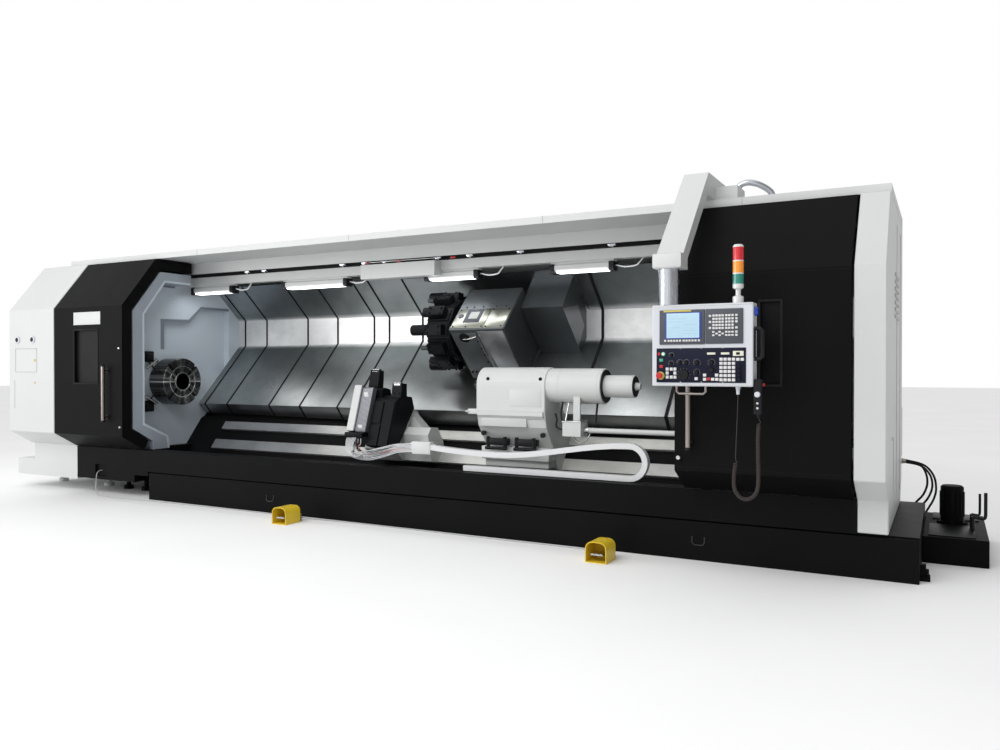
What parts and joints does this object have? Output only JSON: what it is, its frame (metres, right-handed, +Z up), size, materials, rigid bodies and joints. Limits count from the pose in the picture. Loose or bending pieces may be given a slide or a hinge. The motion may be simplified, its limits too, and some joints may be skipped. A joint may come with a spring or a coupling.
{
  "type": "slant_bed_turning_machine",
  "caption": "Large enclosed slant-bed turning machine, doors open on chuck, turret, tailstock, steady rest and telescopic steel covers, with a swivel control panel on an overhead arm.",
  "frame": {"origin": "on the floor under the plinth, straight below the spindle axis", "axes": "X along the spindle to the right as the operator sees it, Y away from the operator, Z up"},
  "size_m": [9.96, 2.79, 2.8],
  "materials": {
    "black_paint": "semi-gloss",
    "black_plastic": "matte",
    "black_rubber": "matte",
    "bright_tube": "polished",
    "bronze_tube": "anodised",
    "cover_sheet": "brushed sheet",
    "dark_iron": "oiled",
    "ground_steel": "ground",
    "light_grey_paint": "satin",
    "white_paint": "semi-gloss",
    "white_plastic": "matte",
    "window_pane": "clear, dark behind",
    "yellow_paint": "satin"
  },
  "bodies": {
    "base": {"apron": "black_paint", "arm_tube": "bright_tube", "bed": "black_paint", "control_arm": "white_paint", "coolant_tank": "black_paint", "cover_left_1": "cover_sheet", "cover_right_4": "cover_sheet", "door_beam": "white_paint", "front_frame": "light_grey_paint", "headstock": "light_grey_paint", "headstock_base": "white_paint", "hose_1": "black_rubber", "hose_2": "black_rubber", "hose_3": "black_rubber", "lamp_rail": "white_paint", "left_cabinet": "white_paint", "pedal_cable_1": "white_plastic", "pedal_cable_2": "white_plastic", "pedal_guard_1": "yellow_paint", "pedal_guard_2": "yellow_paint", "plinth": "black_paint", "rear_wall": "white_paint", "right_end": "white_paint", "roof": "white_paint", "way_lower": "ground_steel", "way_upper": "ground_steel"},
    "carriage": {"carriage_cover": "cover_sheet", "saddle": "dark_iron", "cross_slide_base": "dark_iron"},
    "cross_slide": {"turret_housing": "dark_iron"},
    "turret_disc": {"turret": "dark_iron"},
    "spindle": {"chuck": "ground_steel"},
    "tailstock_body": {"tailstock": "white_paint"},
    "quill_body": {"quill": "ground_steel"},
    "steady": {"steady_base": "white_paint", "steady_body": "black_paint", "steady_valves": "light_grey_paint", "cable_chain": "white_plastic"},
    "left_door_body": {"left_door": "black_paint", "left_door_handle": "bronze_tube", "left_window": "window_pane"},
    "right_door_body": {"right_door": "black_paint", "right_door_handle": "bronze_tube", "right_window": "window_pane"},
    "panel_body": {"control_panel": "light_grey_paint", "stack_light": "white_plastic", "handset": "black_plastic", "pendant_coil": "black_rubber", "pendant_cord": "black_rubber"},
    "pedal_body_1": {"pedal_1": "ground_steel"},
    "pedal_body_2": {"pedal_2": "ground_steel"},
    "left_leaf_2": {"cover_left_2": "cover_sheet"},
    "left_leaf_3": {"cover_left_3": "cover_sheet"},
    "left_leaf_4": {"cover_left_4": "cover_sheet"},
    "left_leaf_5": {"cover_left_5": "cover_sheet"},
    "left_leaf_6": {"cover_left_6": "cover_sheet"},
    "left_leaf_7": {"cover_left_7": "cover_sheet"},
    "right_leaf_1": {"cover_right_1": "cover_sheet"},
    "right_leaf_2": {"cover_right_2": "cover_sheet"},
    "right_leaf_3": {"cover_right_3": "cover_sheet"}
  },
  "joints": [
    {"name": "carriage_slide", "type": "slide", "parent": "base", "child": "carriage", "axis": [-1, 0, 0], "range_m": [-0.75, 2.569]},
    {"name": "cross_slide_joint", "type": "slide", "parent": "carriage", "child": "cross_slide", "axis": [0, -0.7071, -0.7071], "range_m": [-0.05, 0.25]},
    {"name": "turret_index", "type": "hinge", "parent": "cross_slide", "child": "turret_disc", "pos_m": [0.3, 0.5148, 1.7528], "axis": [1, 0, 0], "continuous": true},
    {"name": "spindle_turn", "type": "hinge", "parent": "base", "child": "spindle", "pos_m": [-2.81, 0, 1.238], "axis": [1, 0, 0], "continuous": true},
    {"name": "tailstock_slide", "type": "slide", "parent": "base", "child": "tailstock_body", "axis": [1, 0, 0], "range_m": [-0.2, 1]},
    {"name": "quill_slide", "type": "slide", "parent": "tailstock_body", "child": "quill_body", "axis": [-1, 0, 0], "range_m": [0, 0.15]},
    {"name": "steady_slide", "type": "slide", "parent": "base", "child": "steady", "axis": [1, 0, 0], "range_m": [-2.2, 0.2]},
    {"name": "left_door_slide", "type": "slide", "parent": "base", "child": "left_door_body", "axis": [1, 0, 0], "range_m": [0, 2.9]},
    {"name": "right_door_slide", "type": "slide", "parent": "base", "child": "right_door_body", "axis": [-1, 0, 0], "range_m": [0, 2.9]},
    {"name": "panel_swivel", "type": "hinge", "parent": "base", "child": "panel_body", "pos_m": [3.1, -1.13, 1.8], "axis": [0, 0, 1], "range_deg": [-90, 15]},
    {"name": "pedal_press_1", "type": "hinge", "parent": "base", "child": "pedal_body_1", "pos_m": [-0.5, -0.795, 0.042], "axis": [1, 0, 0], "range_deg": [0, 10], "stiffness_Nm_per_rad": 12, "springref_deg": -11.46},
    {"name": "pedal_press_2", "type": "hinge", "parent": "base", "child": "pedal_body_2", "pos_m": [2.52, -0.825, 0.042], "axis": [1, 0, 0], "range_deg": [0, 10], "stiffness_Nm_per_rad": 12, "springref_deg": -11.46},
    {"name": "left_leaf_slide_2", "type": "slide", "parent": "base", "child": "left_leaf_2", "axis": [-1, 0, 0], "range_m": [-0.028, 0.0909]},
    {"name": "left_leaf_slide_3", "type": "slide", "parent": "base", "child": "left_leaf_3", "axis": [-1, 0, 0], "range_m": [-0.1255, 0.4251]},
    {"name": "left_leaf_slide_4", "type": "slide", "parent": "base", "child": "left_leaf_4", "axis": [-1, 0, 0], "range_m": [-0.3082, 1.0509]},
    {"name": "left_leaf_slide_5", "type": "slide", "parent": "base", "child": "left_leaf_5", "axis": [-1, 0, 0], "range_m": [-0.4321, 1.4751]},
    {"name": "left_leaf_slide_6", "type": "slide", "parent": "base", "child": "left_leaf_6", "axis": [-1, 0, 0], "range_m": [-0.5768, 1.9709]},
    {"name": "left_leaf_slide_7", "type": "slide", "parent": "base", "child": "left_leaf_7", "axis": [-1, 0, 0], "range_m": [-0.6303, 2.1541]},
    {"name": "right_leaf_slide_1", "type": "slide", "parent": "base", "child": "right_leaf_1", "axis": [-1, 0, 0], "range_m": [-0.6294, 2.151]},
    {"name": "right_leaf_slide_2", "type": "slide", "parent": "base", "child": "right_leaf_2", "axis": [-1, 0, 0], "range_m": [-0.4075, 1.3911]},
    {"name": "right_leaf_slide_3", "type": "slide", "parent": "base", "child": "right_leaf_3", "axis": [-1, 0, 0], "range_m": [-0.1915, 0.6509]}
  ],
  "couplings": [
    {"joint": "left_leaf_slide_2", "follows": "carriage_slide", "ratio": 0.0346},
    {"joint": "left_leaf_slide_3", "follows": "carriage_slide", "ratio": 0.1647},
    {"joint": "left_leaf_slide_4", "follows": "carriage_slide", "ratio": 0.4083},
    {"joint": "left_leaf_slide_5", "follows": "carriage_slide", "ratio": 0.5734},
    {"joint": "left_leaf_slide_6", "follows": "carriage_slide", "ratio": 0.7664},
    {"joint": "left_leaf_slide_7", "follows": "carriage_slide", "ratio": 0.8377},
    {"joint": "right_leaf_slide_1", "follows": "carriage_slide", "ratio": 0.8365},
    {"joint": "right_leaf_slide_2", "follows": "carriage_slide", "ratio": 0.5407},
    {"joint": "right_leaf_slide_3", "follows": "carriage_slide", "ratio": 0.2526}
  ]
}
